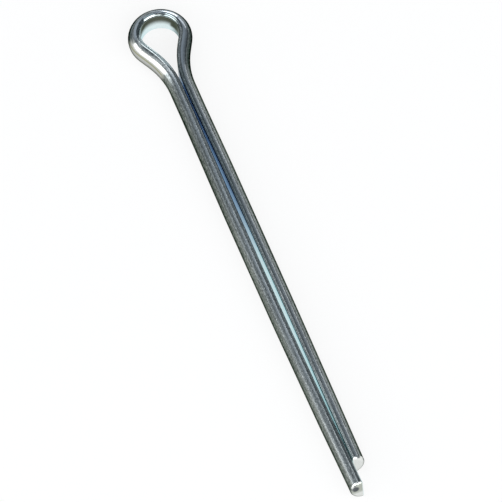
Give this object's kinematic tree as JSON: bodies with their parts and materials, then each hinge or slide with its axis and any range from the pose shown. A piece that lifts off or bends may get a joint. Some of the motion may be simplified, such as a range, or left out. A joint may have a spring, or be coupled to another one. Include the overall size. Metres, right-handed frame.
{
  "type": "cotter pin",
  "caption": "Extended-prong cotter pin: half-round steel wire bent round an eye, its legs closed flat to flat, with square-cut ends.",
  "frame": {"origin": "on the shank's axis, where the straight shank leaves the neck of the eye", "axes": "+X along the shank from the eye to the tips, Y across the legs with the short leg at +Y, +Z square to the plane of the eye"},
  "size_m": [0.1244, 0.0132, 0.0054],
  "materials": {
    "zinc_plated_steel": "bright zinc plate over drawn wire, with fine lengthwise draw marks"
  },
  "bodies": {
    "root": {"cotter_pin": "zinc_plated_steel"}
  },
  "joints": []
}
